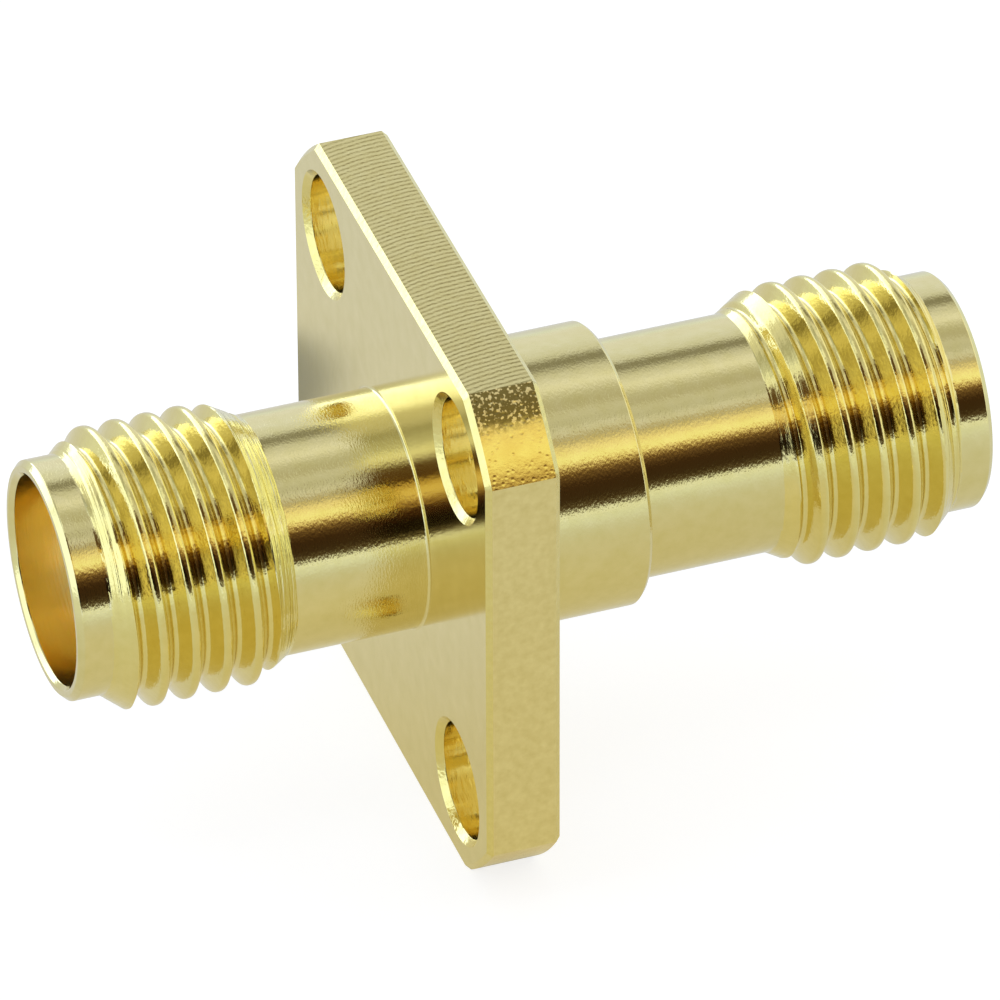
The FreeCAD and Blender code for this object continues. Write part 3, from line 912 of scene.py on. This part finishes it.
# What the metal shows of the room: an angle round X, from the back (+Y) over the top to the
# camera's side, in degrees, and a colour. Panels and gaps of the light tent make these bands. The side
# towards -X has a softbox of its own, and both ends of X are bright.
room = {
    "rightStrength": 1.2,
    "right": [
        (-34, "DCDCD5"), (22, "DBE3FD"), (38, "CDD3E3"),    # the panel behind
        (45, "878785"), (50, "828280"),    # the gap over it
        (58, "C5C9D5"), (72, "E6EBFD"), (83, "BCBEBE"), (91, "B3B3B0"), (98, "C6C9D0"),    # the roof
        (106, "BDC0C3"), (112, "D4D8E5"), (119, "B3AC9D"),    # the roof's front edge
        (127, "EFE4C0"), (135, "FAFDCE"), (139, "E6D5A5"),    # a warm reflector
        (143, "8D7149"), (147, "604930"), (155, "3A2819"), (167, "3A2C1D"),    # the dark room in front
        (174.5, "5D523F"), (176.5, "E5EEF7"),    # the far edge of the paper
    ],
    "leftStrength": 3.6,
    "left": [
        (-34, "8F8F8F"), (-8, "BFCDF5"), (6, "C6D6FF"), (38, "AEB8CE"),    # the softbox
        (46, "858990"), (62, "7B7F89"), (70, "646768"), (86, "7C828D"), (94, "969DA8"),    # the roof
        (99, "858991"), (106, "3A2F23"), (120, "2F2011"),    # the gap in front of it
        (125, "7A6A43"), (130, "8E8360"), (135, "8D8263"), (141, "635137"),    # the warm reflector
        (148, "26160D"), (158, "090503"), (168, "0D0905"),    # the dark room in front
        (174.5, "433F3A"), (176.5, "8F99B6"),    # the far edge of the paper
    ],
    "leftUntil": 0.05,    # the share of X up to which the left bands are shown alone
    "rightFrom": 0.23,
    "leftEndStart": 0.73,    # where the bands fade to the bright ends, as a share of X
    "leftEndFull": 0.86,
    "rightEndStart": 0.55,
    "rightEndFull": 0.8,
    "leftEnd": "A2ADC0",
    "rightEnd": "F5FAFF",
}

fullTurn, quarterTurn = 360, 90    # degrees; the bands' ramp begins a quarter turn below the back


def bandLight(tree, share, bands, strength):
    stops = [((degrees + quarterTurn) / fullTurn, colour) for degrees, colour in bands]
    colours = setStops(addNode(tree, "ShaderNodeValToRGB", links={0: share}), stops)
    return addNode(tree, "ShaderNodeBackground", {"Strength": strength}, {"Color": colours})


def addRoom():
    world = bpy.data.worlds.new("studio")
    bpy.context.scene.world = world
    world.use_nodes = True
    tree = world.node_tree
    tree.nodes.clear()
    direction = addNode(tree, "ShaderNodeTexCoord").outputs["Generated"]
    axes = addNode(tree, "ShaderNodeSeparateXYZ", links={0: direction})
    angle = addNode(tree, "ShaderNodeMath", {"operation": "ARCTAN2"},
                    {0: axes.outputs["Z"], 1: axes.outputs["Y"]})
    turns = addNode(tree, "ShaderNodeMath",
                    {"operation": "MULTIPLY_ADD", 1: 1 / (2 * math.pi), 2: quarterTurn / fullTurn},
                    {0: angle.outputs[0]})
    share = addNode(tree, "ShaderNodeMath", {"operation": "FRACT"}, {0: turns.outputs[0]}).outputs[0]
    seen = bandLight(tree, share, room["left"], room["leftStrength"])
    right = bandLight(tree, share, room["right"], room["rightStrength"])
    leftEnd = addNode(tree, "ShaderNodeBackground",
                      {"Strength": room["leftStrength"], "Color": toLinear(room["leftEnd"])})
    rightEnd = addNode(tree, "ShaderNodeBackground",
                       {"Strength": room["rightStrength"], "Color": toLinear(room["rightEnd"])})
    for light, fadeStart, fadeEnd in ((right, room["leftUntil"], room["rightFrom"]),
                                      (leftEnd, -room["leftEndStart"], -room["leftEndFull"]),
                                      (rightEnd, room["rightEndStart"], room["rightEndFull"])):
        fade = addNode(tree, "ShaderNodeMapRange", {"interpolation_type": "SMOOTHSTEP",
                                                    "From Min": fadeStart, "From Max": fadeEnd},
                       {"Value": axes.outputs["X"]})
        seen = addNode(tree, "ShaderNodeMixShader",
                       links={0: fade.outputs[0], 1: seen.outputs[0], 2: light.outputs[0]})
    backdrop = addNode(tree, "ShaderNodeBackground", {"Strength": 1.0, "Color": toLinear(white)})
    path = addNode(tree, "ShaderNodeLightPath")
    choice = addNode(tree, "ShaderNodeMixShader",
                     links={0: path.outputs["Is Camera Ray"], 1: seen.outputs[0], 2: backdrop.outputs[0]})
    addNode(tree, "ShaderNodeOutputWorld", links={"Surface": choice.outputs[0]})


# White paper under the part. The metal sees it with painted light: warm in front, where gold light falls on
# it, brighter far away, where the lamps stand, and with a painted shadow in one place, so that the flange
# isn't evenly bright.
floor = {
    "size": 1000.0,    # mm
    "paper": "A0A0A0",
    "cameraGlow": 0.8,
    "reach": 100.0,    # mm, where the last colour below is reached
    "alongX": 2.0,    # distances along X count this many times
    "front": [(0.0, "B8B193"), (0.08, "BAB59D"), (0.2, "B3B1A4"), (0.38, "B2B6B5"), (0.64, "BCC5D0"),
              (1.0, "C5D1DA")],
    "behind": [(0.0, "B9B5A3"), (0.08, "BBB8AE"), (0.2, "B4B5B5"), (0.38, "B1B5B8"), (0.64, "BCC5D0"),
               (1.0, "C5D1DA")],
    "seam": 3.0,    # mm each side of the axis in which front turns into behind
    # A painted shadow on the paper, which only the metal sees, in mm.
    "paintedShadowPlace": (-1.2, 13.8),    # mm
    "paintedShadowFrom": 1.5,    # mm from its middle
    "paintedShadowUntil": 2.65,
    "paintedShadowShare": 0.12,
}


def addFloor():
    bpy.ops.object.select_all(action="DESELECT")
    bpy.ops.mesh.primitive_plane_add(size=floor["size"] * millimetre,
                                     location=(0, 0, bodyLow.z * millimetre))
    table = bpy.context.object
    table.name = "floor"
    bpy.ops.object.transform_apply(location=True)
    material = bpy.data.materials.new("whitePaper")
    material.use_nodes = True
    tree = material.node_tree
    tree.nodes.clear()
    paper = addNode(tree, "ShaderNodeBsdfDiffuse", {"Color": toLinear(floor["paper"])})
    place = addNode(tree, "ShaderNodeTexCoord").outputs["Object"]
    axes = addNode(tree, "ShaderNodeSeparateXYZ", links={0: place})
    flat = addNode(tree, "ShaderNodeVectorMath", {"operation": "MULTIPLY", 1: (floor["alongX"], 1, 0)},
                   {0: place})
    distance = addNode(tree, "ShaderNodeVectorMath", {"operation": "LENGTH"}, {0: flat.outputs[0]})
    share = addNode(tree, "ShaderNodeMath", {"operation": "MULTIPLY", 1: perMillimetre(floor["reach"])},
                    {0: distance.outputs["Value"]}).outputs[0]
    front, behind = (setStops(addNode(tree, "ShaderNodeValToRGB", links={0: share}), floor[part])
                     for part in ("front", "behind"))
    side = addNode(tree, "ShaderNodeMapRange", {
        "interpolation_type": "SMOOTHSTEP", "From Min": -floor["seam"] * millimetre,
        "From Max": floor["seam"] * millimetre}, {"Value": axes.outputs["Y"]})
    seen = addNode(tree, "ShaderNodeMix", {"data_type": "RGBA"},
                   {"Factor": side.outputs[0], colourA: front, colourB: behind})
    level = addNode(tree, "ShaderNodeVectorMath", {"operation": "MULTIPLY", 1: (1, 1, 0)}, {0: place})
    paintedShadowPlace = (*(length * millimetre for length in floor["paintedShadowPlace"]), 0)
    fromPaintedShadow = addNode(tree, "ShaderNodeVectorMath", {"operation": "DISTANCE", 1: paintedShadowPlace},
                       {0: level.outputs[0]})
    # The painted shadow: the metal sees the paper this much darker near its middle.
    paintedShadow = addNode(tree, "ShaderNodeMapRange", {
        "interpolation_type": "SMOOTHSTEP", "From Min": floor["paintedShadowFrom"] * millimetre,
        "From Max": floor["paintedShadowUntil"] * millimetre, "To Min": floor["paintedShadowShare"]},
        {"Value": fromPaintedShadow.outputs["Value"]})
    path = addNode(tree, "ShaderNodeLightPath")
    byMetal = addNode(tree, "ShaderNodeMath", {"operation": "MAXIMUM"},
                      {0: path.outputs["Is Glossy Ray"], 1: path.outputs["Is Transmission Ray"]})
    metalStrength = addNode(tree, "ShaderNodeMath", {"operation": "MULTIPLY"},
                            {0: byMetal.outputs[0], 1: paintedShadow.outputs[0]})
    # The paper's painted light, which only the metal sees.
    paintedLightForMetal = addNode(tree, "ShaderNodeEmission", {},
                        {"Color": seen.outputs[mixedColour], "Strength": metalStrength.outputs[0]})
    byCamera = addNode(tree, "ShaderNodeMath", {"operation": "MULTIPLY", 1: floor["cameraGlow"]},
                       {0: path.outputs["Is Camera Ray"]})
    cameraGlow = addNode(tree, "ShaderNodeEmission", {"Color": toLinear(white)},
                         {"Strength": byCamera.outputs[0]})
    glow = addNode(tree, "ShaderNodeAddShader", links={0: paintedLightForMetal.outputs[0], 1: cameraGlow.outputs[0]})
    both = addNode(tree, "ShaderNodeAddShader", links={0: paper.outputs[0], 1: glow.outputs[0]})
    addNode(tree, "ShaderNodeOutputMaterial", links={"Surface": both.outputs[0]})
    table.data.materials.append(material)


addCamera()
addRoom()
addFloor()
bpy.context.scene.view_settings.view_transform = "Standard"

print("studio ready")
